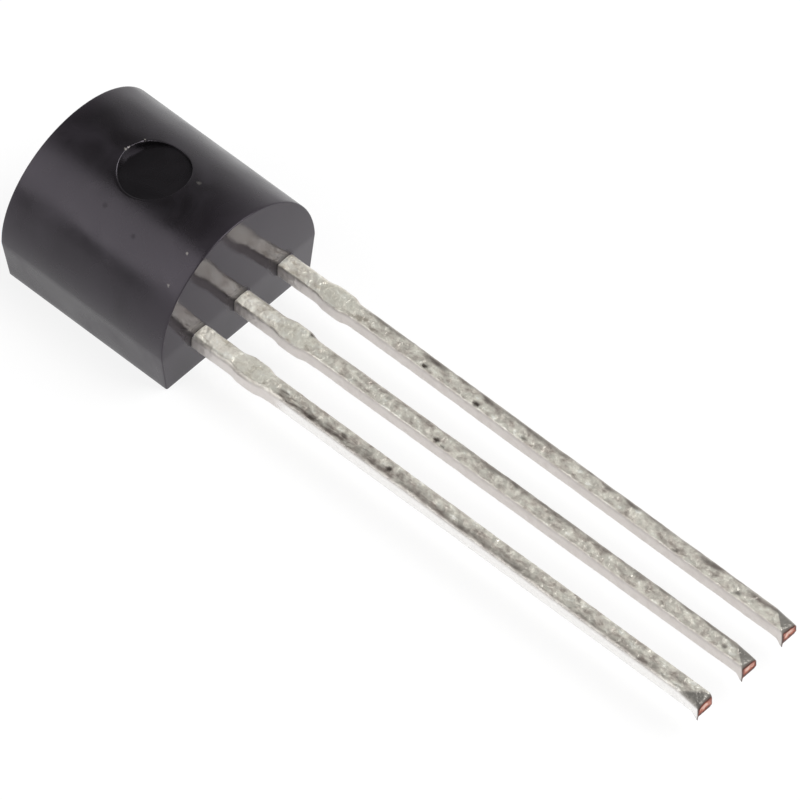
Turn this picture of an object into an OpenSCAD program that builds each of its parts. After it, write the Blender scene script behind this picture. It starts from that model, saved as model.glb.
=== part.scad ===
// Temperature sensor in a small moulded package with three leads in a row.
// It lies on its flat side. X runs along the leads to their tips, Y runs across them,
// and Z runs up to the rounded side. The origin is the centre of the flat side.

/* [Housing] */
// Width of the housing across the leads, at the parting line
housing_width = 4.55; // [4.3:0.05:5.2]
// Height of the housing along the leads, at the parting line
housing_height = 4.6; // [4.4:0.05:5.4]
// Depth of the flat half, from the flat side to the parting line
flat_depth = 1.15; // [1.0:0.05:1.5]
// Draft on the two sides of the flat half, in degrees
side_draft = 7; // [2:0.5:10]
// Draft on the two ends of the flat half, in degrees
end_draft = 2.5; // [1:0.5:6]
// Draft on the two ends of the rounded half, in degrees
round_draft = 1; // [0.5:0.5:4]
// Radius on the four edges of the flat side
edge_radius = 0.06; // [0.04:0.01:0.2]

/* [Ejector pin mark] */
// Diameter of the round mark on the crown of the rounded side
mark_diameter = 1.55; // [1.0:0.05:2.0]
// Depth of the mark where its rim is lowest, on the two sides of the crown
mark_depth = 0.045; // [0.02:0.005:0.15]

/* [Gate scar] */
// Width of the scar where the compound entered the mould
gate_width = 1.2; // [0.6:0.1:2.0]
// Height of the scar below the parting line
gate_height = 0.3; // [0.15:0.05:0.6]
// How far the broken gate stands out of the end
gate_stub = 0.04; // [0.02:0.01:0.1]

/* [Leads] */
// Distance from one lead to the next
lead_pitch = 1.27; // [1.2:0.01:1.4]
// Width of a lead
lead_width = 0.4; // [0.34:0.01:0.5]
// Thickness of the stamped sheet
lead_thickness = 0.36; // [0.25:0.01:0.45]
// Length of a lead outside the housing
lead_length = 14.0; // [10:0.1:20]
// How far the row of leads sits to one side of the housing's middle
row_offset = 0.1; // [0:0.01:0.2]
// How far the tip of the middle lead strays towards the ground lead
middle_stray = 0.09; // [0:0.01:0.2]
// Length of the curve that the shear rolled onto the upper edge of each tip
tip_roll_length = 0.36; // [0.1:0.02:0.6]
// Depth of that curve at the cut face
tip_roll_depth = 0.17; // [0.05:0.01:0.2]

/* [Dam bar stubs] */
// Distance from the housing to the start of the cut dam bar
dam_start = 1.05; // [0.6:0.05:1.6]
// Length of the stub left along the lead
dam_length = 0.95; // [0.7:0.05:1.6]
// Length over which the stub rises from the lead, and over which it falls
dam_ramp = 0.3; // [0.1:0.05:0.35]
// How far the stub stands out of each side of the lead
dam_stub = 0.07; // [0:0.01:0.15]

/* [Lead frame inside the housing] */
// How far the bond posts reach into the housing
post_depth = 1.55; // [1.4:0.05:1.7]
// Length of the wide head of a bond post
head_length = 0.95; // [0.7:0.05:1.1]
// Width of the wide head of a bond post
head_width = 0.8; // [0.6:0.05:0.9]
// Radius of the notches that lock the heads and the paddle in the compound
notch_radius = 0.12; // [0.08:0.01:0.18]
// Gap between the bond posts and the paddle
paddle_gap = 0.35; // [0.25:0.05:0.4]
// Length of the paddle that carries the die
paddle_length = 2.05; // [1.9:0.05:2.15]

/* [Sensor die] */
// Length of the die along the leads
die_length = 1.4; // [0.9:0.05:1.5]
// Width of the die across the leads
die_width = 1.3; // [0.9:0.05:1.5]
// Thickness of the die
die_thickness = 0.28; // [0.15:0.01:0.4]
// Thickness of the adhesive under the die
attach_thickness = 0.03; // [0.02:0.01:0.05]
// Width of the adhesive that shows round the die
attach_border = 0.06; // [0.02:0.01:0.1]

/* [Bond wires] */
// Diameter of a bond wire
wire_diameter = 0.04; // [0.03:0.01:0.06]
// Height of the wires' loops above the die
loop_rise = 0.3; // [0.2:0.05:0.5]
// Distance from the die's edge to the centre of its bond pads
pad_inset = 0.14; // [0.1:0.02:0.2]
// Distance from one bond pad to the next
pad_pitch = 0.38; // [0.2:0.02:0.4]
// Distance from a post's inner end to its bond
bond_inset = 0.3; // [0.2:0.05:0.45]

/* [Hidden] */
$fn = 96;
corner_steps = 4;
ramp_steps = 6;
roll_steps = 8;
wire_steps = 12;
wire_sides = 6;

// Places along X, worked out from the face that the leads leave.
exit_x = housing_height / 2;
tip_x = exit_x + lead_length;
post_end_x = exit_x - post_depth;
paddle_front_x = post_end_x - paddle_gap;
paddle_middle_x = paddle_front_x - paddle_length / 2;
die_front_x = paddle_middle_x + die_length / 2;

// Heights. The leads' upper faces lie in the parting plane.
round_radius = housing_width / 2;
crown_z = flat_depth + round_radius;
mark_rim_z = flat_depth + sqrt(pow(round_radius, 2) - pow(mark_diameter / 2, 2));
lead_top = flat_depth;
lead_bottom = lead_top - lead_thickness;
die_bottom = lead_top + attach_thickness;
die_top = die_bottom + die_thickness;

// The ground lead is at positive Y, and its paddle is flush with the lead's outer edge.
signal_y = row_offset;
ground_y = signal_y + lead_pitch;
supply_y = signal_y - lead_pitch;
paddle_width = 2 * lead_pitch + lead_width;

// A cutter or a profile that has to reach past the housing on all sides.
beyond = 2 * housing_width;

// Low discs under the ends of a bond wire: the ball on the die and the stitch on the lead.
bond_diameter = 2.5 * wire_diameter;
bond_height = 1.2 * wire_diameter;

function unit(v) = v / norm(v);

// Points of the arc that rounds one corner of an outline, between its two neighbours.
function rounded_corner(before, corner, after, radius) =
    let (
        to_before = unit(before - corner),
        to_after = unit(after - corner),
        half_angle = acos(to_before * to_after) / 2,
        centre = corner + unit(to_before + to_after) * radius / sin(half_angle),
        start = corner + to_before * radius / tan(half_angle) - centre,
        end = corner + to_after * radius / tan(half_angle) - centre,
        turn = 180 - 2 * half_angle,
        way = sign(start.x * end.y - start.y * end.x)
    )
    [for (i = [0:corner_steps])
        let (a = way * turn * i / corner_steps)
        centre + [start.x * cos(a) - start.y * sin(a), start.x * sin(a) + start.y * cos(a)]];

// A profile drawn with its second axis up, carried along X or along Y.
module along_x(length) {
    rotate([90, 0, 90]) linear_extrude(length, center = true) children();
}

module along_y(length) {
    rotate([90, 0, 0]) linear_extrude(length, center = true) children();
}

// The housing seen along the leads: a half circle on a block that narrows to the flat side.
module housing_section() {
    base = round_radius - flat_depth * tan(side_draft);
    left = [-round_radius, flat_depth];
    right = [round_radius, flat_depth];
    polygon(concat(
        [right, left],
        rounded_corner(left, [-base, 0], [base, 0], edge_radius),
        rounded_corner([-base, 0], [base, 0], right, edge_radius)
    ));
    intersection() {
        translate([0, flat_depth]) circle(r = round_radius);
        translate([-beyond / 2, flat_depth]) square([beyond, beyond]);
    }
}

// The housing seen across the leads: both ends lean in from the parting line.
module housing_side() {
    base = exit_x - flat_depth * tan(end_draft);
    height = crown_z + round_radius;
    top = exit_x - (height - flat_depth) * tan(round_draft);
    polygon(concat(
        [[exit_x, flat_depth], [top, height], [-top, height], [-exit_x, flat_depth]],
        rounded_corner([-exit_x, flat_depth], [-base, 0], [base, 0], edge_radius),
        rounded_corner([-base, 0], [base, 0], [exit_x, flat_depth], edge_radius)
    ));
}

// The scar is a low block that runs into the housing, past the slope of the drafted end.
module gate_scar() {
    translate([-exit_x - gate_stub, -gate_width / 2, flat_depth - gate_height])
        cube([gate_stub + gate_height, gate_width, gate_height]);
}

module housing_body() {
    intersection() {
        along_x(beyond) housing_section();
        along_y(beyond) housing_side();
    }
    gate_scar();
}

module housing() {
    color("#2b2a2d") difference() {
        housing_body();
        translate([0, 0, mark_rim_z - mark_depth])
            cylinder(h = round_radius, d = mark_diameter);
        ground_lead();
        signal_lead();
        supply_lead();
        die_attach();
        sensor_die();
        ground_wire();
        signal_wire();
        supply_wire();
    }
}

// Half the width of a lead at a distance from the housing. It swells to a low flat stub
// where the dam bar that tied the leads together was punched out.
function half_width(s) =
    let (inside = min(s - dam_start, dam_start + dam_length - s))
    lead_width / 2 + dam_stub * (1 - cos(180 * max(0, min(1, inside / dam_ramp)))) / 2;

lead_stations = concat(
    [-post_depth, 0],
    [for (i = [0:ramp_steps]) dam_start + dam_ramp * i / ramp_steps],
    [for (i = [ramp_steps:-1:0]) dam_start + dam_length - dam_ramp * i / ramp_steps],
    [lead_length]
);

// One edge of a lead in plan, from its post to its tip. Outside the housing, a lead
// that strays leans over evenly towards its tip.
function lead_edge(side, stray) =
    [for (s = lead_stations)
        [exit_x + s, stray * max(s, 0) / lead_length + side * half_width(s)]];

function reversed(points) = [for (i = [len(points) - 1:-1:0]) points[i]];

module lead_outline(stray) {
    polygon(concat(lead_edge(-1, stray), reversed(lead_edge(1, stray))));
}

// Side of the lead frame. The shear that cut the tips rolled their upper edge over in
// a quarter of an ellipse.
module lead_side() {
    polygon(concat(
        [[-exit_x, lead_top], [-exit_x, lead_bottom], [tip_x, lead_bottom]],
        [for (i = [0:roll_steps])
            let (a = 90 * i / roll_steps)
            [tip_x - tip_roll_length * (1 - cos(a)), lead_top - tip_roll_depth * (1 - sin(a))]]
    ));
}

// A lead stamped from sheet. The child is the plan of what it carries inside the housing.
module stamped_lead(y, stray = 0) {
    color("#c9c7bf") intersection() {
        translate([0, y, lead_bottom]) linear_extrude(lead_thickness) {
            lead_outline(stray);
            children();
        }
        along_y(beyond) lead_side();
    }
}

module notches(x, width) {
    for (side = [-1, 1]) translate([x, side * width / 2]) circle(notch_radius);
}

module post_head() {
    difference() {
        translate([post_end_x, -head_width / 2]) square([head_length, head_width]);
        notches(post_end_x + head_length * 2 / 3, head_width);
    }
}

// The paddle fills the width of the row, behind the two posts.
module paddle() {
    difference() {
        translate([paddle_middle_x - paddle_length / 2, -paddle_width / 2])
            square([paddle_length, paddle_width]);
        notches(paddle_middle_x, paddle_width);
    }
}

module ground_lead() {
    stamped_lead(ground_y) {
        translate([0, -lead_pitch]) paddle();
        translate([paddle_front_x, -lead_width / 2]) square([paddle_gap, lead_width]);
    }
}

module signal_lead() {
    stamped_lead(signal_y, middle_stray) post_head();
}

module supply_lead() {
    stamped_lead(supply_y) post_head();
}

module die_plate(bottom, thickness, border) {
    size = [die_length + 2 * border, die_width + 2 * border];
    translate([paddle_middle_x - size.x / 2, signal_y - size.y / 2, bottom])
        cube([size.x, size.y, thickness]);
}

module sensor_die() {
    color("#6f7f8f") die_plate(die_bottom, die_thickness, 0);
}

module die_attach() {
    color("#b9b9b9") die_plate(lead_top, attach_thickness, attach_border);
}

// Centre of a wire at u from 0 to 1: straight up off the die, over, and down to the lead.
function wire_point(start, end, u) =
    start + (end - start) * u * u + [0, 0, loop_rise * sin(180 * u)];

function wire_heading(start, end, u) =
    unit(2 * u * (end - start) + [0, 0, loop_rise * PI * cos(180 * u)]);

// One ring of corners round the wire, square to its heading.
function wire_ring(start, end, u) =
    let (
        side = unit([start.y - end.y, end.x - start.x, 0]),
        up = cross(wire_heading(start, end, u), side)
    )
    [for (i = [0:wire_sides - 1])
        let (a = 360 * i / wire_sides)
        wire_point(start, end, u) + (side * cos(a) + up * sin(a)) * wire_diameter / 2];

module bond_disc(place) {
    translate(place) cylinder(h = bond_height, d = bond_diameter, $fn = 12);
}

// A wire from a ball on the die's pad to a stitch on the lead frame.
module bond_wire(pad_shift, bond) {
    pad = [die_front_x - pad_inset, signal_y + pad_shift, die_top];
    lift = [0, 0, bond_height / 2];
    last = wire_steps * wire_sides;
    color("#d9b04a") {
        bond_disc(pad);
        bond_disc(bond);
        polyhedron(
            points = [for (step = [0:wire_steps])
                each wire_ring(pad + lift, bond + lift, step / wire_steps)],
            faces = concat(
                [[for (i = [0:wire_sides - 1]) i]],
                [for (k = [0:wire_sides:last - 1], i = [0:wire_sides - 1])
                    let (j = (i + 1) % wire_sides)
                    each [[k + j, k + i, k + wire_sides + i],
                        [k + j, k + wire_sides + i, k + wire_sides + j]]],
                [[for (i = [wire_sides - 1:-1:0]) last + i]]
            )
        );
    }
}

module ground_wire() {
    bond_wire(pad_pitch, [paddle_front_x - bond_inset, ground_y, lead_top]);
}

module signal_wire() {
    bond_wire(0, [post_end_x + bond_inset, signal_y, lead_top]);
}

module supply_wire() {
    bond_wire(-pad_pitch, [post_end_x + bond_inset, supply_y, lead_top]);
}

housing();
ground_lead();
signal_lead();
supply_lead();
sensor_die();
die_attach();
ground_wire();
signal_wire();
supply_wire();
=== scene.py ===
import bmesh
import bpy
import numpy as np
from mathutils import Matrix, Vector


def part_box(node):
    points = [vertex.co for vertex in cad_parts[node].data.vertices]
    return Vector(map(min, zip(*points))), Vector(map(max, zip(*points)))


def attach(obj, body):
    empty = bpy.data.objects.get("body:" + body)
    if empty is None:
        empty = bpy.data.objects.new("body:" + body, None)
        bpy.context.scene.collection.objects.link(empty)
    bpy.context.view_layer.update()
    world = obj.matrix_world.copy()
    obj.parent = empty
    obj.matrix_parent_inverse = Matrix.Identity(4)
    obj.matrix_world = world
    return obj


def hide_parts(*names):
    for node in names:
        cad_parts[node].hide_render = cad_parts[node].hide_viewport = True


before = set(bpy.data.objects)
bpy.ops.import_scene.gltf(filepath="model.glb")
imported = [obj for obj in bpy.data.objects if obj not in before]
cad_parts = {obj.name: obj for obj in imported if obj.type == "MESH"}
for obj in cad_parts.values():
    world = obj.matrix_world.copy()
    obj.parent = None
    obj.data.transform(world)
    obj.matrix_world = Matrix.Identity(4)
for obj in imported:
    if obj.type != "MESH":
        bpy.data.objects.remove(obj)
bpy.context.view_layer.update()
mm = 0.001

# ---------------------------------------------------------------------------
# View: a long lens looks down on the crown from the side the leads point to,
# so the housing, its end face and all three leads show together.
# ---------------------------------------------------------------------------
frame_pixels = 800
focal_pixels = 14000
azimuth = np.radians(44.47)
elevation = np.radians(51.79)
roll = np.radians(-1.43)
target = Vector((6.47 * mm, 0.385 * mm, 0.97 * mm))
distance = 285.4 * mm

back = Vector((np.sin(azimuth) * np.cos(elevation), -np.cos(azimuth) * np.cos(elevation), np.sin(elevation)))
level = Vector((np.cos(azimuth), np.sin(azimuth), 0))
upright = back.cross(level)
right = level * np.cos(roll) + upright * np.sin(roll)
up = back.cross(right)
turned = Matrix((right, up, back)).transposed().to_4x4()

lens = bpy.data.cameras.new("camera")
lens.sensor_width = 36
lens.lens = lens.sensor_width * focal_pixels / frame_pixels
lens.clip_start = 10 * mm
lens.clip_end = 100
camera = bpy.data.objects.new("camera", lens)
camera.matrix_world = Matrix.Translation(target + back * distance) @ turned
bpy.context.scene.collection.objects.link(camera)
bpy.context.scene.camera = camera
bpy.context.scene.view_settings.view_transform = "Standard"


# ---------------------------------------------------------------------------
# Studio: a pale table that runs to the horizon, a dim room above it that gets
# darker overhead, a large softbox at the left, and a stronger one at the right
# on the far side of the leads.
# ---------------------------------------------------------------------------
def add_node(tree, kind, inputs=(), **settings):
    """Adds a shader node. Settings go on the node, and inputs, by name or index, take values or outputs."""
    node = tree.nodes.new(kind)
    for name, value in settings.items():
        setattr(node, name, value)
    for name, value in dict(inputs).items():
        if isinstance(value, bpy.types.NodeSocket):
            tree.links.new(value, node.inputs[name])
        else:
            node.inputs[name].default_value = value
    return node


def colour(hex_code):
    """An sRGB hex colour as linear red, green, blue and alpha."""
    s = np.array([int(hex_code[i:i + 2], 16) for i in (1, 3, 5)]) / 255
    return (*np.where(s <= 0.04045, s / 12.92, ((s + 0.055) / 1.055) ** 2.4), 1.0)


def new_material(name):
    """A material with an empty node tree and its output node."""
    material = bpy.data.materials.new(name)
    material.use_nodes = True
    material.node_tree.nodes.clear()
    return material, material.node_tree


def set_ramp(node, stops):
    """Gives a Color Ramp node its stops: pairs of position and grey level or colour."""
    ramp = node.color_ramp
    while len(ramp.elements) > 1:
        ramp.elements.remove(ramp.elements[-1])
    for i, (place, value) in enumerate(stops):
        stop = ramp.elements[0] if i == 0 else ramp.elements.new(place)
        stop.position = place
        stop.color = value if hasattr(value, "__len__") else (value, value, value, 1)


world = bpy.data.worlds.new("studio")
bpy.context.scene.world = world
world.use_nodes = True
sky = world.node_tree
sky.nodes.clear()
direction = add_node(sky, "ShaderNodeTexCoord").outputs["Generated"]
height = add_node(sky, "ShaderNodeSeparateXYZ", {0: direction}).outputs["Z"]
room = add_node(sky, "ShaderNodeValToRGB", {0: height})
set_ramp(room, [(0.0, 0.84), (0.2, 0.74), (0.38, 0.56), (0.54, 0.34), (0.68, 0.2), (0.8, 0.12), (1.0, 0.1)])
room_light = add_node(sky, "ShaderNodeBackground", {"Color": room.outputs[0], "Strength": 1.0})
add_node(sky, "ShaderNodeOutputWorld", {"Surface": room_light.outputs[0]})


def add_softbox(name, aim, away, size, radiance):
    """A rectangular area light facing the part. Its power is its area times pi times the radiance wanted."""
    lamp = bpy.data.lights.new(name, "AREA")
    lamp.shape = "RECTANGLE"
    lamp.size, lamp.size_y = size
    lamp.energy = radiance * np.pi * size[0] * size[1]
    box = bpy.data.objects.new(name, lamp)
    aim = Vector(aim).normalized()
    box.matrix_world = Matrix.Translation(aim * away) @ aim.to_track_quat("Z", "Y").to_matrix().to_4x4()
    box.visible_camera = False
    bpy.context.scene.collection.objects.link(box)


softbox_away = 400 * mm
add_softbox("left_softbox", (-0.43, -0.63, 0.64), softbox_away, size=(325 * mm, 325 * mm), radiance=1.66)
add_softbox("right_softbox", (0.47, 0.40, 0.79), softbox_away, size=(270 * mm, 290 * mm), radiance=5.8)

# Seen straight on or in a reflection, most of the paper is an even white glow, whatever the room
# gives it. The rest of it takes the light as paper does, so the part keeps its shadow.
glow_share = 0.8
glow_strength = 1.04
table, tree = new_material("white_table_paper")
path = add_node(tree, "ShaderNodeLightPath")
seen = add_node(tree, "ShaderNodeMath", {0: path.outputs["Is Camera Ray"], 1: path.outputs["Is Glossy Ray"]},
                operation="MAXIMUM")
seen = add_node(tree, "ShaderNodeMath", {0: seen.outputs[0], 1: path.outputs["Is Transmission Ray"]},
                operation="MAXIMUM")
glow = add_node(tree, "ShaderNodeMath", {0: seen.outputs[0], 1: glow_share}, operation="MULTIPLY")
paper = add_node(tree, "ShaderNodeBsdfDiffuse", {"Color": colour("#f4f4f4")})
white = add_node(tree, "ShaderNodeEmission", {"Color": (1, 1, 1, 1), "Strength": glow_strength})
surface = add_node(tree, "ShaderNodeMixShader", {0: glow.outputs[0], 1: paper.outputs[0],
                                                 2: white.outputs[0]})
add_node(tree, "ShaderNodeOutputMaterial", {"Surface": surface.outputs[0]})

table_reach = 3000 * mm
corners = [(x * table_reach, y * table_reach, 0) for x, y in ((-1, -1), (1, -1), (1, 1), (-1, 1))]
table_mesh = bpy.data.meshes.new("table")
table_mesh.from_pydata(corners, [], [(0, 1, 2, 3)])
table_top = bpy.data.objects.new("table", table_mesh)
bpy.context.scene.collection.objects.link(table_top)
table_mesh.materials.append(table)


# ---------------------------------------------------------------------------
# Housing: black epoxy compound, moulded in one shot round the lead frame. Two
# mould halves met at the leads' upper faces, so each half leans in from there.
# An ejector pin left the round mark on the crown.
# ---------------------------------------------------------------------------
_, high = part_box("housing")
exit_x = high.x
round_radius = high.y
flat_depth = high.z - round_radius
side_draft = np.radians(7)
end_draft = np.radians(2.5)
round_draft = np.radians(1)
flat_edge_radius = 0.07 * mm
end_edge_radius = 0.028 * mm
arc_steps, side_steps, edge_steps = 80, 8, 5
length_steps = 72


def half_outline(inset):
    """Right half of the housing's section, from the middle of the flat side to the crown.

    It is a bottom line, a rounded corner, a side that leans out by the draft, and a
    quarter circle. Every point then moves in along its outward normal by inset.
    """
    base = round_radius - flat_depth * np.tan(side_draft)
    lean = np.pi / 2 - side_draft
    reach = flat_edge_radius * np.tan(lean / 2)
    turn = np.linspace(-np.pi / 2, -side_draft, edge_steps)
    corner = np.stack([base - reach + flat_edge_radius * np.cos(turn),
                       flat_edge_radius + flat_edge_radius * np.sin(turn)], 1)
    normals = np.stack([np.cos(turn), np.sin(turn)], 1)
    lift = np.linspace(0, 1, side_steps + 1)[1:-1, None]
    side = corner[-1] + (np.array([round_radius, flat_depth]) - corner[-1]) * lift
    side_normal = np.repeat(normals[-1:], len(side), 0)
    arc = np.linspace(0, np.pi / 2, arc_steps + 1)
    crown = np.stack([round_radius * np.cos(arc), flat_depth + round_radius * np.sin(arc)], 1)
    crown_normal = np.stack([np.cos(arc), np.sin(arc)], 1)
    points = np.concatenate([[[0, 0]], corner, side, crown])
    normals = np.concatenate([[[0, -1]], normals, side_normal, crown_normal])
    points = points - normals * inset
    points[-1, 0] = 0
    return points


def closed_outline(inset):
    """The whole section as a loop: up the right side to the crown, then its mirror image down the left."""
    right_side = half_outline(inset)
    left_side = right_side[-2:0:-1] * [-1, 1]
    return np.concatenate([right_side, left_side])


def half_length(z):
    """Half the housing's length at a height: it shrinks by the draft on both sides of the parting line."""
    return exit_x - np.where(z > flat_depth, (z - flat_depth) * np.tan(round_draft),
                             (flat_depth - z) * np.tan(end_draft))


def housing_grid():
    """Rings along the housing: a quarter round at each end, and even steps of its own length between."""
    whole = closed_outline(0)
    front = []
    for turn in np.linspace(np.pi / 2, 0, edge_steps + 1)[:-1]:
        outline = closed_outline(end_edge_radius * (1 - np.cos(turn)))
        x = half_length(whole[:, 1]) - end_edge_radius * (1 - np.sin(turn))
        front.append(np.column_stack([x, outline]))
    inner = half_length(whole[:, 1]) - end_edge_radius
    middle = [np.column_stack([inner * u, whole]) for u in np.linspace(1, -1, length_steps + 1)]
    rear = [ring * [-1, 1, 1] for ring in front[::-1]]
    return np.array(front + middle + rear)


def crown_height(y):
    """Height of the rounded side above the table, at a distance y from its middle line."""
    return flat_depth + np.sqrt(round_radius ** 2 - y ** 2)


# The ejector mark's rim is worn softer in three places. Each has its direction round the mark and
# its spread in degrees, and the radius that the wear adds in mm.
mark_radius = 0.768 * mm
mark_depth = 0.045 * mm
mark_rim_radius = 0.012 * mm
rim_wear = [(178, 5, 0.055), (152, 4, 0.045), (-115, 34, 0.055)]
mark_patch = 1.15 * mm
wall_lean, hub_radius = 0.004 * mm, 0.02 * mm
turned_pitch, turned_height = 0.05 * mm, 0.0006 * mm
patch_steps, rim_steps, floor_steps = 12, 4, 26


def mark_rings(edge):
    """Rings from the patch's edge in to the middle of the ejector mark.

    The edge's points slide to a circle over the rounded side, roll over the rim, drop down
    the wall, and run to the middle over a floor with the pin's fine turned rings. Each worn
    place adds a bell curve to the rim's radius.
    """
    angle = np.arctan2(edge[:, 1], edge[:, 0])
    unit = np.stack([np.cos(angle), np.sin(angle)], 1)
    rim_radius = np.full_like(angle, mark_rim_radius)
    for place, spread, extra in rim_wear:
        off = (angle - np.radians(place) + np.pi) % (2 * np.pi) - np.pi
        rim_radius += extra * mm * np.exp(-(np.degrees(off) / spread) ** 2)
    rim_radius = rim_radius[:, None]
    rim = unit * (mark_radius + rim_radius)
    rings = []
    for t in np.linspace(0, 1, patch_steps + 1)[1:]:
        flat = edge[:, :2] + (rim - edge[:, :2]) * t
        rings.append(np.column_stack([flat, crown_height(flat[:, 1])]))
    for turn in np.linspace(0, np.pi / 2, rim_steps + 1)[1:]:
        flat = unit * (mark_radius + rim_radius * (1 - np.sin(turn)))
        drop = rim_radius[:, 0] * (1 - np.cos(turn))
        rings.append(np.column_stack([flat, crown_height(flat[:, 1]) - drop]))
    floor_z = crown_height(mark_radius) - mark_depth
    for radius in np.linspace(mark_radius - wall_lean, hub_radius, floor_steps):
        ripple = turned_height * np.cos(radius / turned_pitch * 2 * np.pi)
        rings.append(np.column_stack([unit * radius, np.full(len(unit), floor_z + ripple)]))
    return np.array(rings)


def ease(t):
    """Smooth step from 0 to 1: half a cosine wave."""
    return (1 - np.cos(np.pi * np.clip(t, 0, 1))) / 2


gate_width, gate_height = 1.2 * mm, 0.3 * mm
gate_stub, gate_sunk = 0.04 * mm, 0.01 * mm
gate_rows, gate_columns, gate_seed = 19, 61, 7


def gate_scar():
    """The torn gate: a low, rough pad on the end behind the leads, sunk into it all round.

    Its height over the end is an eased rise from each side times its tear: half random heights
    and half eased waves. Its back is one face inside the housing.
    """
    rng = np.random.default_rng(gate_seed)
    v, u = np.meshgrid(np.linspace(-1, 1, gate_rows), np.linspace(-1, 1, gate_columns), indexing="ij")
    torn = rng.uniform(0.35, 1, u.shape) * 0.5 + 0.5 * ease(0.5 + 0.5 * np.sin(5 * u + 2 * v))
    rise = ease((1 - np.abs(u)) / 0.1) * ease((1 - np.abs(v)) / 0.35) * torn
    z = flat_depth - gate_height / 2 + v * gate_height / 2
    x = -half_length(z) + gate_sunk - (gate_sunk + gate_stub) * rise
    points = np.stack([x, u * gate_width / 2, z], 2)
    rows, columns = u.shape
    number = np.arange(rows * columns).reshape(rows, columns)
    quads = np.stack([number[:-1, :-1], number[:-1, 1:], number[1:, 1:], number[1:, :-1]], 2).reshape(-1, 4)
    rim = np.concatenate([number[0, :-1], number[:-1, -1], number[-1, :0:-1], number[:0:-1, 0]])
    return points.reshape(-1, 3), [*quads.tolist(), rim.tolist()]


def ring_faces(first, second):
    """Quads between two closed rings of vertex numbers."""
    return np.stack([first, np.roll(first, -1), np.roll(second, -1), second], 1).tolist()


def rounded_loop(corner_steps, flat_steps):
    """A loop of points round a rectangle with rounded corners, first round a corner, then along a side.

    Each point has its corner (-1 or 1 both ways), the angle of its outward direction from +Y
    towards +Z, and how far it slides along the straight side towards the next corner.
    """
    quarter = np.concatenate([np.linspace(0, 1, corner_steps), np.ones(flat_steps)])
    slide = np.concatenate([np.zeros(corner_steps), np.linspace(0, 1, flat_steps + 2)[1:-1]])
    angle = (np.arange(4)[:, None] + quarter).ravel() * np.pi / 2
    corner_y, corner_z = np.repeat([[1, -1, -1, 1], [1, 1, -1, -1]], len(slide), 1)
    return corner_y, corner_z, angle, np.tile(slide, 4)


# The leads' roots: a small fillet of resin, and a thin film round each that spreads mostly to one side,
# painted dark there as shade.
root_low, root_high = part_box("supply_lead")
lead_pitch = 1.27 * mm
row_y = (root_low.y + root_high.y) / 2 + lead_pitch
lead_width = 0.415 * mm
root_corner_radius = 0.03 * mm
fillet_radius, fillet_steps = 0.02 * mm, 6
hidden = 0.02 * mm
film_heights = [0.005 * mm, 0.004 * mm, 0.003 * mm, -hidden]
film_spread = [0, 0.5, 0.95, 1]
root_shade_width = 0.38 * mm
root_shade_side = np.radians(138)
root_shade_sideways, root_shade_upwards = 0.5, 1.1


def resin_fillet(lead_y):
    """The resin that creeps a little way out along a lead, and the thin film round it that carries painted
    shade.

    A profile is swept round the lead's rounded rectangle: from inside the lead, over a hollow
    quarter circle, and over a film that thins out to an edge that three sine waves make uneven.
    The film is widest on one side, where its painted shade is darkest, and slants upwards and sideways from
    there.
    """
    turn = np.linspace(0, np.pi / 2, fillet_steps + 1)[:-1]
    out = np.concatenate([[-hidden, fillet_radius], fillet_radius * (1 - np.sin(turn)), film_heights])
    off = np.concatenate([[-hidden, -hidden], fillet_radius * (1 - np.cos(turn)),
                          np.full(len(film_heights), fillet_radius)])
    spread = np.concatenate([np.zeros(2 + fillet_steps), film_spread])
    corner_y, corner_z, angle, slide = rounded_loop(6, 6)
    one_side = len(angle) // 4
    side_y = corner_y * (1 - slide) + np.roll(corner_y, -one_side) * slide
    side_z = corner_z * (1 - slide) + np.roll(corner_z, -one_side) * slide
    round_lead = np.arange(len(angle)) / len(angle) * 2 * np.pi + 3 * lead_y / mm
    uneven = 1 + 0.15 * np.sin(2 * round_lead) + 0.12 * np.sin(5 * round_lead) + 0.1 * np.sin(11 * round_lead)
    shaded_side = np.clip(np.cos(angle - root_shade_side), 0, 1)
    run = spread[:, None] * root_shade_width * (0.1 + 0.9 * shaded_side) * uneven
    grown = root_corner_radius + off[:, None] + run
    y = lead_y + side_y * (lead_width / 2 - root_corner_radius) + grown * np.cos(angle)
    half_thickness = (root_high.z - root_low.z) / 2
    middle_z = (root_low.z + root_high.z) / 2
    z = middle_z + side_z * (half_thickness - root_corner_radius) + grown * np.sin(angle)
    y = y - root_shade_sideways * run * np.clip(np.sin(angle), 0, 1)
    z = z + root_shade_upwards * run * np.clip(-np.cos(angle), 0, 1)
    points = np.stack([half_length(z) + out[:, None], y, z], 2)
    rings, loop = y.shape
    number = np.arange(rings * loop).reshape(rings, loop)
    faces = []
    for first, second in zip(number, np.roll(number, -1, 0)):
        faces += ring_faces(first, second)
    on_film = np.arange(rings) >= 2 + fillet_steps
    # How much painted shade each point carries: none on the fillet, most near the lead on one side.
    film_shade = np.interp(spread, [0, 0.5, 1], [0.9, 0.4, 0]) * on_film
    return points.reshape(-1, 3), faces, (film_shade[:, None] * shaded_side ** 0.6).ravel()


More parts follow.
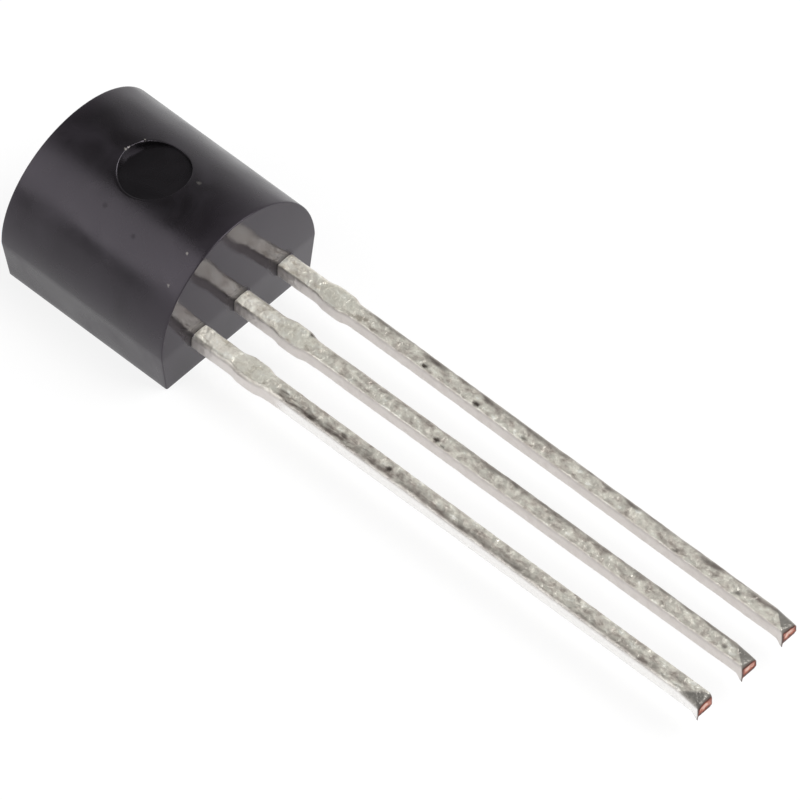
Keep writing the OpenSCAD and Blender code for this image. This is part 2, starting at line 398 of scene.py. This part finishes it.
def housing_mesh():
    """The rings as one closed skin, with the crown's patch swapped for the mark and both ends zipped shut.

    The leads' fillets and the gate scar are shells of their own, sunk into the skin. It returns
    the points, the faces, the number of the scar's first face, and the painted root shade on each point.
    """
    grid = housing_grid()
    rings, loop = grid.shape[:2]
    number = np.arange(rings * loop).reshape(rings, loop)
    points = grid.reshape(-1, 3)
    crown = loop // 2
    across = int(round(arc_steps * (mark_patch / round_radius) / (np.pi / 2)))
    along = int(round(length_steps / 2 * mark_patch / exit_x))
    middle = rings // 2
    i0, i1 = crown - across, crown + across
    j0, j1 = middle - along, middle + along
    faces = []
    for j in range(rings - 1):
        quads = ring_faces(number[j], number[j + 1])
        faces += [q for i, q in enumerate(quads) if not (j0 <= j < j1 and i0 <= i < i1)]
    edge = np.concatenate([number[j0, i0:i1], number[j0:j1, i1], number[j1, i1:i0:-1], number[j1:j0:-1, i0]])
    inside = mark_rings(points[edge])
    start = len(points)
    inner = start + np.arange(inside.shape[0] * inside.shape[1]).reshape(inside.shape[:2])
    points = np.concatenate([points, inside.reshape(-1, 3), [[0, 0, inside[-1, 0, 2]]]])
    for first, second in zip([edge, *inner[:-1]], inner):
        faces += ring_faces(first, second)
    hub = len(points) - 1
    faces += [(a, b, hub) for a, b in zip(inner[-1], np.roll(inner[-1], -1))]
    for ring, flip in ((number[0], 1), (number[-1], -1)):
        right_side, left_side = ring[1:crown], ring[:crown:-1]
        faces += [(ring[0], right_side[0], left_side[0])[::-flip]]
        faces += [(a, b, c, d)[::-flip] for a, b, c, d in
                  zip(right_side[:-1], right_side[1:], left_side[1:], left_side[:-1])]
        faces += [(right_side[-1], ring[crown], left_side[-1])[::-flip]]
    root_shade = [np.zeros(len(points))]
    for lead_y in row_y + lead_pitch * np.array([-1, 0, 1]):
        ring_points, ring_quads, film_shade = resin_fillet(lead_y)
        faces += [[v + len(points) for v in face] for face in ring_quads]
        points = np.concatenate([points, ring_points])
        root_shade.append(film_shade)
    scar = len(faces)
    scar_points, scar_faces = gate_scar()
    faces += [[v + len(points) for v in face] for face in scar_faces]
    root_shade.append(np.zeros(len(scar_points)))
    return np.concatenate([points, scar_points]), faces, scar, np.concatenate(root_shade)


def new_piece(name, points, faces, sharp_angle):
    """A mesh object from arrays, smooth apart from edges that turn by more than the angle, faces outwards."""
    mesh = bpy.data.meshes.new(name)
    mesh.from_pydata(np.asarray(points).tolist(), [], [tuple(int(v) for v in f) for f in faces])
    form = bmesh.new()
    form.from_mesh(mesh)
    bmesh.ops.recalc_face_normals(form, faces=form.faces)
    form.to_mesh(mesh)
    form.free()
    mesh.shade_smooth()
    mesh.set_sharp_from_angle(angle=np.radians(sharp_angle))
    piece = bpy.data.objects.new(name, mesh)
    bpy.context.scene.collection.objects.link(piece)
    return piece


# Dust grains, pale specks on the ejector mark's rim painted as highlights (the last three), and scuffed
# spots: place x, y, z and size in mm, and how much of them shows.
dust_and_glints = [(1.93, -0.99, 3.22, 0.042, 0.5), (1.97, -1.6, 2.77, 0.04, 0.5), (0.96, 0.38, 3.44, 0.06, 0.14),
               (-0.75, 0, 3.46, 0.035, 0.5), (-0.74, 0.08, 3.46, 0.035, 0.6), (-0.65, 0.46, 3.42, 0.035, 0.5)]
scuffs = [(-0.23, -1.17, 3.12, 0.09, 1.0), (0.7, -1.31, 3.02, 0.08, 1.0)]


def moulded_black_epoxy():
    """Filled epoxy from a polished mould: near black, with a clear soft gloss, cloudy where flow lines met.

    The two ends came from smoother steel than the rounded side, so they are glossier and lack its
    slight waves. Towards both ends it turns paler and rougher. The torn gate shows dull grey filler,
    the leads' roots are painted darker as shade and made duller, and the pin's face is a little darker.
    A few pale specks on the ejector mark's rim are painted highlights.
    """
    material, tree = new_material("moulded_black_epoxy")
    cloud_size, flow_size, grain_size = 1.1 * mm, 1.6 * mm, 0.05 * mm
    ragged_reach = 0.08 * mm
    place = add_node(tree, "ShaderNodeTexCoord").outputs["Object"]
    cloud = add_node(tree, "ShaderNodeTexNoise", {"Vector": place, "Scale": 1 / cloud_size, "Detail": 4,
                                                  "Distortion": 0.6})
    flow = add_node(tree, "ShaderNodeTexNoise", {"Vector": place, "Scale": 1 / flow_size, "Detail": 1})
    grains = add_node(tree, "ShaderNodeTexNoise", {"Vector": place, "Scale": 1 / grain_size, "Detail": 2})
    pin, torn, root_shade, end = (add_node(tree, "ShaderNodeAttribute", attribute_name=layer).outputs["Fac"]
                               for layer in ("pin_face", "torn_gate", "painted_root_shade", "polished_end"))
    along = add_node(tree, "ShaderNodeSeparateXYZ", {0: place}).outputs["X"]
    # Paler and rougher towards both ends.
    front = add_node(tree, "ShaderNodeMapRange", {"Value": along, "From Min": 1.1 * mm, "From Max": 2.4 * mm,
                                                  "To Max": 0.7})
    rear = add_node(tree, "ShaderNodeMapRange", {"Value": along, "From Min": -1.8 * mm, "From Max": -2.3 * mm,
                                                 "To Max": 0.5})
    end_paling = add_node(tree, "ShaderNodeMath", {0: front.outputs[0], 1: rear.outputs[0]}, operation="MAXIMUM")
    ragged = add_node(tree, "ShaderNodeVectorMath",
                      {0: grains.outputs["Color"], 1: (ragged_reach,) * 3, 2: place},
                      operation="MULTIPLY_ADD")

    def spots(places, core):
        """How much of the spots shows: each fades from its core's edge to its own, and the most counts."""
        shown = 0.0
        for x, y, z, size, most in places:
            away = add_node(tree, "ShaderNodeVectorMath", {0: ragged.outputs[0], 1: (x * mm, y * mm, z * mm)},
                            operation="DISTANCE")
            spot = add_node(tree, "ShaderNodeMapRange", {
                "Value": away.outputs["Value"], "From Min": size * mm, "From Max": core * size * mm,
                "To Max": most})
            both = add_node(tree, "ShaderNodeMath", {0: spot.outputs[0], 1: shown}, operation="MAXIMUM")
            shown = both.outputs[0]
        return shown

    # Some of the pale specks, those on the ejector mark's rim, are painted highlights.
    dust_and_glint, scuffed = spots(dust_and_glints, 0.4), spots(scuffs, 0.3)
    body = add_node(tree, "ShaderNodeValToRGB", {0: cloud.outputs["Fac"]})
    set_ramp(body, [(0.3, colour("#0e0c0d")), (0.5, colour("#151315")), (0.7, colour("#201d21"))])
    base = body.outputs[0]
    # The dark cover round the leads' roots is painted shade.
    for cover, tone in ((end_paling.outputs[0], "#2a262b"), (torn, "#4b474b"), (root_shade, "#17140e"),
                        (pin, "#0d0c0d"), (dust_and_glint, "#a8a49c")):
        mixed = add_node(tree, "ShaderNodeMix", {0: cover, 6: base, 7: colour(tone)}, data_type="RGBA")
        base = mixed.outputs[2]
    cloudy = add_node(tree, "ShaderNodeMapRange", {"Value": cloud.outputs["Fac"], "From Min": 0.3,
                                                   "From Max": 0.7, "To Min": 0.17, "To Max": 0.37})
    polish = add_node(tree, "ShaderNodeMapRange", {"Value": end, "To Min": 1.0, "To Max": 0.3})
    end_roughened = add_node(tree, "ShaderNodeMath", {0: end_paling.outputs[0], 1: 0.1, 2: cloudy.outputs[0]},
                     operation="MULTIPLY_ADD")
    rough = add_node(tree, "ShaderNodeMath", {0: end_roughened.outputs[0], 1: polish.outputs[0]},
                     operation="MULTIPLY")
    rough = add_node(tree, "ShaderNodeMath", {0: scuffed, 1: 0.2, 2: rough.outputs[0]},
                     operation="MULTIPLY_ADD")
    for cover, dimmed in ((torn, 0.6), (root_shade, 0.8)):
        rough = add_node(tree, "ShaderNodeMix", {0: cover, 2: rough.outputs[0], 3: dimmed})
    moulded = add_node(tree, "ShaderNodeMath", {0: 1.0, 1: end}, operation="SUBTRACT", use_clamp=True)
    sway = add_node(tree, "ShaderNodeBump", {"Height": flow.outputs["Fac"], "Strength": moulded.outputs[0],
                                             "Distance": 0.03 * mm})
    bump = add_node(tree, "ShaderNodeBump", {"Height": grains.outputs["Fac"], "Strength": 1.0,
                                             "Distance": 0.0008 * mm, "Normal": sway.outputs[0]})
    shader = add_node(tree, "ShaderNodeBsdfPrincipled", {
        "Base Color": base, "Roughness": rough.outputs[0], "IOR": 1.5,
        "Specular Tint": (1.0, 0.91, 1.04, 1), "Normal": bump.outputs[0]})
    add_node(tree, "ShaderNodeOutputMaterial", {"Surface": shader.outputs[0]})
    return material


housing_points, housing_faces, first_scar, root_shade = housing_mesh()
housing = new_piece("housing_moulding", housing_points, housing_faces, 12)
centres = np.array([face.center for face in housing.data.polygons])
on_scar = np.arange(len(centres)) >= first_scar
on_end = np.abs(centres[:, 0]) > half_length(centres[:, 2]) - 0.3 * end_edge_radius
from_middle = np.hypot(centres[:, 0], centres[:, 1])
on_pin = (from_middle < mark_radius) & (centres[:, 2] > round_radius)
for layer, chosen in (("polished_end", on_end & ~on_scar), ("pin_face", on_pin), ("torn_gate", on_scar)):
    housing.data.attributes.new(layer, "FLOAT", "FACE").data.foreach_set("value", chosen.astype(float))
# Painted shade round the leads' roots, point by point.
housing.data.attributes.new("painted_root_shade", "FLOAT", "POINT").data.foreach_set("value", root_shade)
housing.data.materials.append(moulded_black_epoxy())
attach(housing, "root")
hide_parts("housing")


# ---------------------------------------------------------------------------
# Leads: stamped copper alloy dipped in tin. Each has a low stub where the dam
# bar was punched out, and a tip that the shear rolled over and left bare.
# ---------------------------------------------------------------------------
lead_low, lead_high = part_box("supply_lead")
lead_length = lead_high.x - exit_x
lead_bottom, lead_top = lead_low.z, lead_high.z
buried = 0.3 * mm
rolled_edge_radius = 0.09 * mm
top_edge_radius = 0.035 * mm
bottom_edge_radius = 0.02 * mm
dam_start, dam_length, dam_ramp = 1.05 * mm, 0.95 * mm, 0.3 * mm
stub_plus, stub_minus = 0.065 * mm, 0.045 * mm
flare_width, flare_end, flare_ramp = 0.03 * mm, 2.4 * mm, 0.9 * mm
coin_middle, coin_length, coin_width = 1.53 * mm, 0.5 * mm, 0.26 * mm
groove_depth, groove_end, groove_ramp = 0.014 * mm, 1.75 * mm, 0.5 * mm
coin_depth = 0.003 * mm
crown_rise = 0.012 * mm
fine_cell, fine_height = 0.13 * mm, 0.009 * mm
finest_cell, finest_height = 0.07 * mm, 0.004 * mm
long_cell, long_height = 0.7 * mm, 0.004 * mm
smooth_root, smooth_tip = 0.15 * mm, 0.4 * mm
facet_length, facet_slope, facet_slant = 0.3 * mm, 0.24, 1.2
roll_length, roll_depth = 0.1 * mm, 0.06 * mm
burr_length, burr_out, burr_down = 0.2 * mm, 0.02 * mm, 0.13 * mm
pock_depth, pock_pull = 0.025 * mm, 0.05 * mm
bare_rim, burnished_rim = 0.035 * mm, 0.085 * mm
lip_end, lip_ramp = 2.2 * mm, 0.4 * mm
grime_start, grime_rise, grime_end, grime_fall = 2.1 * mm, 0.4 * mm, 6.4 * mm, 2.6 * mm
root_light_end, root_light_ramp = 3.6 * mm, 2.6 * mm
corner_steps, flat_steps = 5, 9

# Where the rings begin, how far apart they are, and how long the tip with its closer rings is, in mm.
ring_start, ring_step, tip_part, tip_rings = -0.02, 0.035, 0.7, 34


def grain(seed, s, turn, cell, around):
    """Uneven tin: random heights from -1 to 1 on a grid of cells along the lead and round it.

    Between the grid's corners the height follows a smooth step both ways. The grid closes on
    itself round the section.
    """
    rng = np.random.default_rng(seed)
    rows = int((s.max() - s.min()) / cell) + 3
    heights = rng.uniform(-1, 1, (rows, around))
    row = (s - s.min()) / cell
    column = (turn / (2 * np.pi) % 1) * around
    i, j = np.floor(row).astype(int), np.floor(column).astype(int)
    u, v = ease(row - i), ease(column - j)
    j, k = j % around, (j + 1) % around
    return ((heights[i, j] * (1 - v) + heights[i, k] * v) * (1 - u)
            + (heights[i + 1, j] * (1 - v) + heights[i + 1, k] * v) * u)


def lead_rings(lead_y, stray, seed, cut_side, band_width, band_start, dirt, shine, pocks):
    """Rings of a lead's outer part, as one array of rings by points by three, and its finish with painted
    light and shade, as layers.

    Each ring is a rectangle with rounded edges, widened by the dam bar stub, with the tin's uneven
    height along its outward directions. Near the tip a slanted facet and an elliptic roll-over
    lower the upper face, and the lower edge is drawn down into a burr.

    stray is how far the tip bends sideways, and cut_side is the side (-1 or 1) whose upper edge the
    punch rolled over. A band of painted shade runs along that edge, with the given width and start.
    dirt and shine, from 0 to 1, are for the grime beside the band and the gloss of the -Y side. Each
    of the pocks has its place along and across the lead and its size both ways in mm, and a strength.
    """
    corner_y, corner_z, angle, slide = rounded_loop(corner_steps, flat_steps)
    out_y, out_z = np.cos(angle), np.sin(angle)
    turn = np.arange(len(angle)) / len(angle) * 2 * np.pi
    s = np.concatenate([[-buried], np.arange(ring_start, lead_length / mm - tip_part, ring_step) * mm,
                        lead_length - np.linspace(tip_part, 0, tip_rings) * mm])[:, None]
    left = lead_length - s

    # The outline, with the stub and the flare on the -Y side by the root.
    stub = ease(np.minimum(s - dam_start, dam_start + dam_length - s) / dam_ramp)
    plus_w = lead_width / 2 + stub_plus * stub
    minus_w = lead_width / 2 + stub_minus * stub + flare_width * ease((flare_end - s) / flare_ramp)
    w = np.where(corner_y > 0, plus_w, minus_w)
    half_t = (lead_top - lead_bottom) / 2
    upper_edge = np.where(corner_y * cut_side > 0, rolled_edge_radius, top_edge_radius)
    r = np.where(corner_z < 0, bottom_edge_radius, upper_edge)
    y = corner_y * (w - r) + out_y * r
    z = corner_z * (half_t - r) + out_z * r + 0 * s
    for first in range(corner_steps - 1, len(angle), corner_steps + flat_steps):
        span = np.arange(first + 1, first + 1 + flat_steps)
        last = (first + 1 + flat_steps) % len(angle)
        t = slide[span]
        y[:, span] = y[:, [first]] * (1 - t) + y[:, [last]] * t
        z[:, span] = z[:, [first]] * (1 - t) + z[:, [last]] * t
    side = out_y ** 2
    on_top = (corner_z > 0) * (1 - side)

    # The tin's swells, its crown on the upper face, and the ellipse coined into the stub.
    fade = ease((s - 0.02 * mm) / smooth_root) * ease(left / smooth_tip)
    fine = (grain(seed, s, turn, fine_cell, 20) * fine_height
            + grain(seed + 1, s, turn, finest_cell, 36) * finest_height)
    swell = fine * (1 - 0.8 * side) + grain(seed + 2, s, turn, long_cell, 6) * long_height
    crown = crown_rise * np.clip(corner_z, 0, 1) * (1 - (y / w) ** 2)
    coin = ((s - coin_middle) / coin_length) ** 2 + (y / coin_width) ** 2
    groove = groove_depth * np.exp(-((coin - 1) / 0.14) ** 2) * ease((groove_end - s) / groove_ramp)
    dent = (groove + coin_depth * ease((1 - coin) / 0.3)) * on_top
    fade = fade * (1 - 0.6 * ease((1.1 - coin) / 0.2))
    y = y + out_y * swell * fade
    z = z + out_z * swell * fade + (crown - dent) * np.clip(out_z, 0, 1)

    # The tip: a facet that slants from the cut side, the shear's roll-over, and the burr below.
    upper = np.clip((z + half_t) / (2 * half_t), 0, 1)
    slant = np.clip(facet_length - left + cut_side * y * facet_slant, 0, None)
    z = z - upper * facet_slope * slant * ease(slant / (0.05 * mm))
    u = np.clip((roll_length - left) / roll_length, 0, 1)
    z = z - upper * roll_depth * (1 - 0.7 * cut_side * y / w) * (1 - np.sqrt(1 - 0.999 * u ** 2))
    burr = ease((burr_length - left) / burr_length) * (corner_y < 0) * (corner_z < 0)
    burr = burr * (1 - 0.8 * (out_z < -0.9))
    y = y - burr_out * burr
    z = z - burr_down * burr

    # Bare copper inside the housing and on the tip's rim, and steel's burnish on the sheared tip, which is
    # painted darker there as shade.
    rim = ease((bare_rim - left) / bare_rim)
    bare = np.where(s < -0.05 * mm, 1.0, 0.0) + 0.42 * rim + 0 * y
    tip_roll = ease((burnished_rim - left) / (0.03 * mm)) * on_top
    burnished_shade = np.maximum(ease(slant / (0.04 * mm)) * on_top, tip_roll)

    # Painted shade: a band along the rolled cut edge, and a line under the -Y edge by the root.
    edge = cut_side * y - lead_width / 2 + band_width * (1 + 0.6 * grain(seed + 3, s, turn, 0.33 * mm, 9))
    begun = ease((s - band_start) / (0.6 * band_start))
    band = ease(edge / ((0.09 + 0.1 * shine) * mm)) * on_top * begun
    dimmed = band * (0.72 + 0.35 * grain(seed + 5, s, turn, 0.25 * mm, 9))
    lip = (corner_y < 0) * (corner_z > 0) * (out_y < -0.3) * (out_z > 0.25)
    lip = lip * ease(s / (0.1 * mm)) * ease((lip_end - s) / lip_ramp)
    dimmed = np.maximum(dimmed, 0.55 * lip * (0.7 + 0.5 * grain(seed + 4, s, turn, 0.15 * mm, 5)))

    # Grime beside the band, most of it on the first half, and painted light that keeps the tin paler by the
    # root.
    wide = ease((edge + (0.06 + 0.04 * shine) * mm) / (0.12 * mm)) * on_top
    early = ease((s - grime_start) / grime_rise) * (0.45 + 0.55 * ease((grime_end - s) / grime_fall))
    soiled = dirt * wide * early
    root_light = ease((root_light_end - s) / root_light_ramp) + 0 * y
    coined = 0.3 * ease((1 - coin) / 0.3) * on_top

    # Pocks: bell-shaped pits with ragged edges. One at an edge pulls the edge in as well.
    at_s, at_y, size_s, size_y = (np.array(pocks)[:, :4] * mm).T
    away = ((s[..., None] - at_s) / size_s) ** 2 + ((y[..., None] - at_y) / size_y) ** 2
    ragged = 1 + 0.55 * grain(seed + 6, s, turn, 0.045 * mm, 48)[..., None]
    pock = (np.exp(-(away * ragged) ** 2) * np.array(pocks)[:, 4]).sum(2) * on_top
    z = z - pock_depth * pock
    y = y - np.sign(y) * pock_pull * pock * (np.abs(y) > 0.8 * w)

    # The -Y side: painted shade under its upper edge, and burnished past the stub where shine says so.
    brow = 0.2 * side * (corner_y < 0) * ease((z - 0.06 * mm) / (0.08 * mm))
    shiny = shine * side * (corner_y < 0) * ease((s - 2.2 * mm) / (0.5 * mm)) + 0 * y
    layers = {"pocked": np.clip(1.2 * pock, 0, 1), "soiled": soiled, "shiny_side": shiny,
              "bare_copper": bare, "burnished_painted_shade": burnished_shade, "punched_side": side + 0 * y,
              "painted_edge_shade": np.maximum(dimmed, brow), "painted_root_light": root_light, "coined_stub": coined}
    x = exit_x + s + 0 * y
    lean = stray * np.clip(s, 0, None) / lead_length
    return np.stack([x, lead_y + lean + y, (lead_top + lead_bottom) / 2 + z], 2), layers


# The cut face, from its rim to its middle: how far it has shrunk, how far it stands out in mm, and
# how bare its copper is.
cut_face = [(0.93, 0.004, 0.5), (0.78, 0.006, 0.62), (0.6, -0.006, 0.85), (0.3, -0.012, 1.0)]


def lead_mesh(**lead_values):
    """The rings as quads. The root end is shut flat. The cut face is the last ring shrunk in four steps."""
    rings, layers = lead_rings(**lead_values)
    face = rings[-1].copy()
    face[:, 2] = np.maximum(face[:, 2], lead_bottom + 0.03 * mm)
    centre = (face.max(0) + face.min(0)) / 2
    caps = [centre + (face - centre) * shrunk + [out * mm, 0, 0] for shrunk, out, _ in cut_face]
    rings = np.concatenate([rings, caps])
    count, loop = rings.shape[:2]
    number = np.arange(count * loop).reshape(count, loop)
    faces = []
    for first, second in zip(number[:-1], number[1:]):
        faces += ring_faces(first, second)
    points = np.concatenate([rings.reshape(-1, 3), [rings[-1].mean(0)]])
    hub = len(points) - 1
    faces += [(a, b, hub) for a, b in zip(number[-1], np.roll(number[-1], -1))]
    faces += [tuple(number[0])]
    ends = np.repeat([[bareness] for _, _, bareness in cut_face], loop, 1)
    for layer, values in layers.items():
        end = ends if layer == "bare_copper" else 0 * ends
        layers[layer] = np.append(np.concatenate([values, end]).ravel(), end[-1, 0])
    return points, faces, layers


def buried_part(node):
    """A copy of the CAD lead's buried end, merged, and cut off square a little inside the housing."""
    form = bmesh.new()
    form.from_mesh(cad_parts[node].data)
    bmesh.ops.remove_doubles(form, verts=form.verts, dist=1e-7)
    everything = form.verts[:] + form.edges[:] + form.faces[:]
    cut = bmesh.ops.bisect_plane(form, geom=everything, plane_co=(exit_x - buried, 0, 0), plane_no=(1, 0, 0),
                                 clear_outer=True)
    edges = [e for e in cut["geom_cut"] if isinstance(e, bmesh.types.BMEdge)]
    bmesh.ops.contextual_create(form, geom=edges)
    return form


def tinned_copper():
    """Matte dipped tin over copper alloy: rough, uneven and faintly greenish grey, paler by the root,
    where the paler tone is painted light.

    The punched sides are smoother and warmer. Grime lies in streaks drawn out along the lead, and
    painted shade darkens the band along the rolled cut edge. The sheared tip is burnished smooth
    and painted darker as shade, and its cut face is bare copper.
    """
    material, tree = new_material("matte_dipped_tin")
    patch_size, streak_size, tear_size = 0.15 * mm, 0.1 * mm, 0.09 * mm
    crystal_size, dimple_size = 0.11 * mm, 0.085 * mm
    place = add_node(tree, "ShaderNodeTexCoord").outputs["Object"]
    root_light, coined, punched, shiny, dimmed, soiled, burnished_shade, pocked, bare = (
        add_node(tree, "ShaderNodeAttribute", attribute_name=layer).outputs["Fac"]
        for layer in ("painted_root_light", "coined_stub", "punched_side", "shiny_side", "painted_edge_shade", "soiled",
                      "burnished_painted_shade", "pocked", "bare_copper"))
    rolled = add_node(tree, "ShaderNodeMapping", {"Vector": place, "Scale": (0.6, 1, 1)})
    patch = add_node(tree, "ShaderNodeTexNoise", {"Vector": rolled.outputs[0], "Scale": 1 / patch_size,
                                                  "Detail": 5, "Roughness": 0.6, "Distortion": 0.3})
    main_tone = add_node(tree, "ShaderNodeValToRGB", {0: patch.outputs["Fac"]})
    set_ramp(main_tone, [(0.32, colour("#a79e95")), (0.42, colour("#c9c2b8")), (0.52, colour("#dad6cb")),
                    (0.6, colour("#e4e1d5")), (0.68, colour("#fbfaf2"))])
    bright = add_node(tree, "ShaderNodeValToRGB", {0: patch.outputs["Fac"]})
    set_ramp(bright, [(0.34, colour("#d2cbbb")), (0.45, colour("#eee9dc")), (0.56, colour("#f8f5e8")),
                      (0.66, colour("#fffef4"))])
    # Paler by the root: painted light.
    dipped = add_node(tree, "ShaderNodeMix", {0: root_light, 6: main_tone.outputs[0], 7: bright.outputs[0]},
                      data_type="RGBA")
    punch_tone = add_node(tree, "ShaderNodeMix", {0: shiny, 6: colour("#dcd6d2"), 7: colour("#faf8f6")},
                          data_type="RGBA")
    drawn = add_node(tree, "ShaderNodeMapping", {"Vector": place, "Scale": (0.3, 1, 1)})
    smear = add_node(tree, "ShaderNodeTexNoise", {"Vector": drawn.outputs[0], "Scale": 1 / streak_size,
                                                  "Detail": 4, "Distortion": 0.3})
    streak = add_node(tree, "ShaderNodeMapRange", {"Value": smear.outputs["Fac"], "From Min": 0.34,
                                                   "From Max": 0.62})
    grime = add_node(tree, "ShaderNodeMath", {0: streak.outputs[0], 1: soiled}, operation="MULTIPLY")
    tear = add_node(tree, "ShaderNodeTexNoise", {"Vector": place, "Scale": 1 / tear_size, "Detail": 2})
    uneven = add_node(tree, "ShaderNodeMapRange", {"Value": tear.outputs["Fac"], "From Min": 0.3,
                                                   "From Max": 0.7, "To Min": -0.16, "To Max": 0.16})
    depth = add_node(tree, "ShaderNodeMath", {0: bare, 1: uneven.outputs[0]}, operation="ADD")
    cut = add_node(tree, "ShaderNodeValToRGB", {0: depth.outputs[0]})
    set_ramp(cut, [(0.4, colour("#4c332c")), (0.62, colour("#8d4a3a")), (0.82, colour("#bd7d6b")),
                   (1, colour("#dfbdb0"))])
    shorn = add_node(tree, "ShaderNodeMapRange", {"Value": bare, "From Max": 0.4})
    base = dipped.outputs[2]
    # The edge band and the burnished tip's darker tone are painted shade.
    for cover, tone in ((coined, colour("#efeedf")), (punched, punch_tone.outputs[2]),
                        (dimmed, colour("#736b66")), (grime.outputs[0], colour("#605650")),
                        (burnished_shade, colour("#827f79")), (pocked, colour("#4f4842")),
                        (shorn.outputs[0], cut.outputs[0])):
        mixed = add_node(tree, "ShaderNodeMix", {0: cover, 6: base, 7: tone}, data_type="RGBA")
        base = mixed.outputs[2]
    crystal = add_node(tree, "ShaderNodeTexVoronoi", {"Vector": place, "Scale": 1 / crystal_size})
    facet = add_node(tree, "ShaderNodeSeparateColor", {0: crystal.outputs["Color"]})
    coarse = add_node(tree, "ShaderNodeMapRange", {"Value": root_light, "To Min": 0.58, "To Max": 0.46})
    rough = add_node(tree, "ShaderNodeMapRange", {"Value": facet.outputs[0], "To Min": 0.33,
                                                  "To Max": coarse.outputs[0]})
    for cover, smooth in ((burnished_shade, 0.35), (shiny, 0.15)):
        rough = add_node(tree, "ShaderNodeMix", {0: cover, 2: rough.outputs[0], 3: smooth})
    dimple = add_node(tree, "ShaderNodeTexNoise", {"Vector": place, "Scale": 1 / dimple_size, "Detail": 3})
    bump = add_node(tree, "ShaderNodeBump", {"Height": dimple.outputs["Fac"], "Strength": 1.0,
                                             "Distance": 0.021 * mm})
    shader = add_node(tree, "ShaderNodeBsdfPrincipled", {
        "Base Color": base, "Metallic": 0.6, "Roughness": rough.outputs[0], "Normal": bump.outputs[0]})
    add_node(tree, "ShaderNodeOutputMaterial", {"Surface": shader.outputs[0]})
    return material


def make_lead(name, node, material, **lead_values):
    """One lead: its free part from the arrays and its buried part from the CAD solid, as one object."""
    points, faces, layers = lead_mesh(**lead_values)
    lead = new_piece(name, points, faces, 50)
    form = buried_part(node)
    copper = form.verts.layers.float.new("bare_copper")
    for vertex in form.verts:
        vertex[copper] = 1.0
    for layer, values in layers.items():
        lead.data.attributes.new(layer, "FLOAT", "POINT").data.foreach_set("value", values)
    form.from_mesh(lead.data)
    form.to_mesh(lead.data)
    form.free()
    lead.data.materials.append(material)
    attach(lead, "root")
    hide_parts(node)


tin = tinned_copper()
make_lead("supply_lead_tinned", "supply_lead", tin, lead_y=row_y - lead_pitch, stray=0.045 * mm, seed=11,
          cut_side=-1, band_width=0.19 * mm, band_start=1.9 * mm, dirt=0.9, shine=1.0,
          pocks=[(5.32, -0.01, 0.08, 0.06, 0.9), (4.05, 0.02, 0.1, 0.05, 0.6), (3.2, -0.1, 0.14, 0.05, 0.6)])
make_lead("signal_lead_tinned", "signal_lead", tin, lead_y=row_y, stray=0.09 * mm, seed=22,
          cut_side=1, band_width=0.15 * mm, band_start=4.6 * mm, dirt=0.35, shine=0.0,
          pocks=[(1.8, 0.225, 0.105, 0.085, 1), (5.52, -0.1, 0.085, 0.05, 1), (5.73, -0.15, 0.06, 0.035, 0.7),
                 (5.4, 0.18, 0.14, 0.035, 0.5), (8.6, -0.05, 0.07, 0.035, 0.5),
                 (13.37, -0.07, 0.08, 0.055, 0.6)])
make_lead("ground_lead_tinned", "ground_lead", tin, lead_y=row_y + lead_pitch + 0.012 * mm, stray=0.0,
          seed=33, cut_side=1, band_width=0.147 * mm, band_start=1.6 * mm, dirt=0.35, shine=0.0,
          pocks=[(4.01, -0.11, 0.08, 0.055, 1), (4.0, 0.12, 0.1, 0.03, 0.5), (5.48, -0.12, 0.085, 0.07, 1),
                 (6.79, -0.12, 0.09, 0.04, 0.6), (11.0, -0.15, 0.07, 0.05, 0.5),
                 (12.67, -0.08, 0.08, 0.055, 0.6)])


# ---------------------------------------------------------------------------
# Inside the housing: a silicon die, glued to the ground lead's paddle with
# silver-filled epoxy, and a gold ball-bonded wire to each lead.
# ---------------------------------------------------------------------------
def grained_material(name, size, low, high, metallic, roughness, dent):
    """A material whose colour and surface vary with one noise of a given grain size, from low to high."""
    material, tree = new_material(name)
    place = add_node(tree, "ShaderNodeTexCoord").outputs["Object"]
    noise = add_node(tree, "ShaderNodeTexNoise", {"Vector": place, "Scale": 1 / size, "Detail": 3})
    tone = add_node(tree, "ShaderNodeValToRGB", {0: noise.outputs["Fac"]})
    set_ramp(tone, [(0.35, colour(low)), (0.65, colour(high))])
    bump = add_node(tree, "ShaderNodeBump", {"Height": noise.outputs["Fac"], "Distance": dent})
    shader = add_node(tree, "ShaderNodeBsdfPrincipled", {
        "Base Color": tone.outputs[0], "Metallic": metallic, "Roughness": roughness,
        "Normal": bump.outputs[0]})
    add_node(tree, "ShaderNodeOutputMaterial", {"Surface": shader.outputs[0]})
    return material


# Sawn and polished silicon: a dark blue-grey mirror. Silver-filled epoxy: a dull pale paste with
# flakes. Drawn gold wire: warm, soft gloss with faint die lines.
silicon = grained_material("polished_silicon", 0.3 * mm, "#34363d", "#4a4e58", 0.85, 0.15, 0.0005 * mm)
paste = grained_material("silver_filled_epoxy", 0.03 * mm, "#8d8c89", "#c4c3bf", 0.5, 0.5, 0.003 * mm)
gold = grained_material("drawn_gold_wire", 0.02 * mm, "#d9a441", "#f0c469", 1.0, 0.24, 0.001 * mm)
finishes = {"sensor_die": silicon, "die_attach": paste, "ground_wire": gold, "signal_wire": gold,
            "supply_wire": gold}
for node, finish in finishes.items():
    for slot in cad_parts[node].material_slots:
        slot.material = finish
